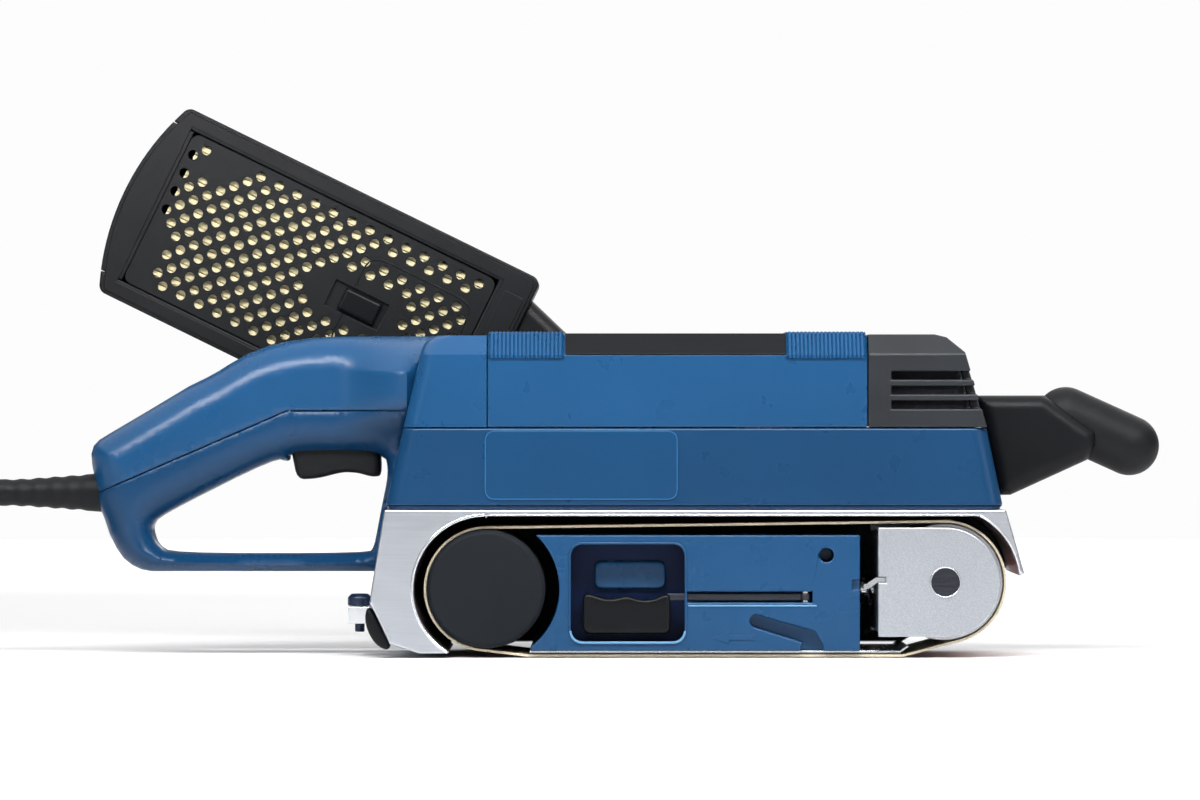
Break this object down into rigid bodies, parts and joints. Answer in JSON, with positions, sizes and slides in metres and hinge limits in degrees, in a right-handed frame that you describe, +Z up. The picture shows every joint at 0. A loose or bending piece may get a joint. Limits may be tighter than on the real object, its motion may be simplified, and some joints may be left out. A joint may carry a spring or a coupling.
{
  "type": "handheld belt sander",
  "caption": "Handheld belt sander with an open-sided sanding belt, rear D handle with trigger, front grip, tilted dust box and coiled mains cord.",
  "frame": {"origin": "middle of the sanding sole's flat face, on the outside of the belt", "axes": "+X to the machine's front, +Z up from the sole, -Y to the open side where the belt comes off"},
  "size_m": [0.6629, 0.17, 0.2291],
  "materials": {
    "blue_housing": "satin moulded plastic, fine grain",
    "black_plastic": "fine matt grain",
    "soft_grip": "matt rubbery",
    "label": "smooth, blank",
    "cast_alloy": "satin die casting, polished edges",
    "drum_aluminium": "turned",
    "drum_rubber": "matt",
    "steel": "bright turned or rolled",
    "laminations": "stacked laminations",
    "copper": "copper bars",
    "carbon": "dull carbon",
    "abrasive": "cloth with brown grit on its outside",
    "cork": "graphite-faced cork",
    "filter_paper": "pleated paper",
    "chrome": "plated",
    "knob_blue": "glossy",
    "cable": "matt rubber sheath"
  },
  "bodies": {
    "root": {"brush_holders": "black_plastic", "carbon_brushes": "carbon", "chassis": "cast_alloy", "clamp_bracket": "chrome", "cord_coil": "cable", "cord_sleeve": "soft_grip", "cover_screws": "steel", "drive_cover": "black_plastic", "drum_bearing": "steel", "dust_duct": "black_plastic", "front_grip": "soft_grip", "front_handle_arm": "black_plastic", "handle_cover": "blue_housing", "handle_frame": "blue_housing", "label_plate": "label", "lower_housing": "blue_housing", "mains_cord": "cable", "motor_bearings": "steel", "motor_cover": "blue_housing", "platen_frame": "blue_housing", "plug_body": "cable", "plug_pins": "chrome", "sanding_belt": "abrasive", "sole_pad": "cork", "sole_plate": "steel", "stator": "laminations", "switch_body": "black_plastic", "tension_spring": "steel", "timing_belt": "drum_rubber", "top_inlay": "black_plastic", "vent_cap": "black_plastic"},
    "drum": {"drum_core": "drum_aluminium", "drum_lagging": "drum_rubber", "drum_cap": "drum_rubber", "drum_shaft": "steel", "drum_pulley": "black_plastic"},
    "armature": {"armature_core": "laminations", "armature_shaft": "steel", "commutator": "copper", "cooling_fan": "black_plastic", "motor_pulley": "steel"},
    "yoke": {"tension_yoke": "cast_alloy", "roller_axle": "steel", "push_rod": "steel", "tension_link": "steel"},
    "idler": {"front_roller": "drum_aluminium", "roller_bearings": "steel"},
    "lever": {"lever_strip": "steel", "lever_pin": "steel", "lever_grip": "soft_grip"},
    "trigger": {"trigger": "black_plastic"},
    "lock_button": {"lock_button": "black_plastic"},
    "tracking_knob": {"tracking_knob": "black_plastic"},
    "clamp_knob": {"clamp_knob": "knob_blue"},
    "dust_box": {"dust_case": "black_plastic", "dust_neck": "black_plastic"},
    "filter_cassette": {"filter_panel": "black_plastic", "filter_element": "filter_paper"},
    "filter_latch": {"filter_latch": "black_plastic"}
  },
  "joints": [
    {"name": "drum_spin", "type": "hinge", "parent": "root", "child": "drum", "pos_m": [-0.0943, 0, 0.0279], "axis": [0, 1, 0], "continuous": true},
    {"name": "armature_spin", "type": "hinge", "parent": "root", "child": "armature", "pos_m": [0.02, 0, 0.096], "axis": [0, 1, 0], "continuous": true},
    {"name": "yoke_slide", "type": "slide", "parent": "root", "child": "yoke", "axis": [1, 0, 0], "range_m": [-0.004, 0], "deforming": ["tension_spring"]},
    {"name": "idler_spin", "type": "hinge", "parent": "yoke", "child": "idler", "pos_m": [0.0939, 0, 0.03075], "axis": [0, 1, 0], "continuous": true},
    {"name": "lever_swing", "type": "hinge", "parent": "root", "child": "lever", "pos_m": [0.0368, -0.037, 0.0246], "axis": [0, 0, 1], "range_deg": [0, 90]},
    {"name": "trigger_press", "type": "slide", "parent": "root", "child": "trigger", "axis": [0, 0, 1], "range_m": [0, 0.006], "stiffness_N_per_m": 400, "springref_m": -0.004},
    {"name": "lock_press", "type": "slide", "parent": "root", "child": "lock_button", "axis": [0, -1, 0], "range_m": [0, 0.0025], "stiffness_N_per_m": 300, "springref_m": -0.003},
    {"name": "tracking_turn", "type": "hinge", "parent": "root", "child": "tracking_knob", "pos_m": [0.07, 0.05, 0.04], "axis": [0, 1, 0], "range_deg": [-180, 180]},
    {"name": "clamp_turn", "type": "hinge", "parent": "root", "child": "clamp_knob", "pos_m": [-0.147, -0.014, 0.02], "axis": [0, 0, 1], "range_deg": [-180, 180]},
    {"name": "dust_box_slide", "type": "slide", "parent": "root", "child": "dust_box", "axis": [-0.898, 0, 0.4399], "range_m": [0, 0.04]},
    {"name": "cassette_slide", "type": "slide", "parent": "dust_box", "child": "filter_cassette", "axis": [-0.898, 0, 0.4399], "range_m": [0, 0.12]},
    {"name": "latch_slide", "type": "slide", "parent": "filter_cassette", "child": "filter_latch", "axis": [-0.898, 0, 0.4399], "range_m": [0, 0.003]}
  ],
  "couplings": [
    {"joint": "armature_spin", "follows": "drum_spin", "ratio": 2.3333},
    {"joint": "idler_spin", "follows": "drum_spin", "ratio": 1.0125},
    {"joint": "lever_swing", "follows": "yoke_slide", "rad_per_m": -392.69}
  ]
}
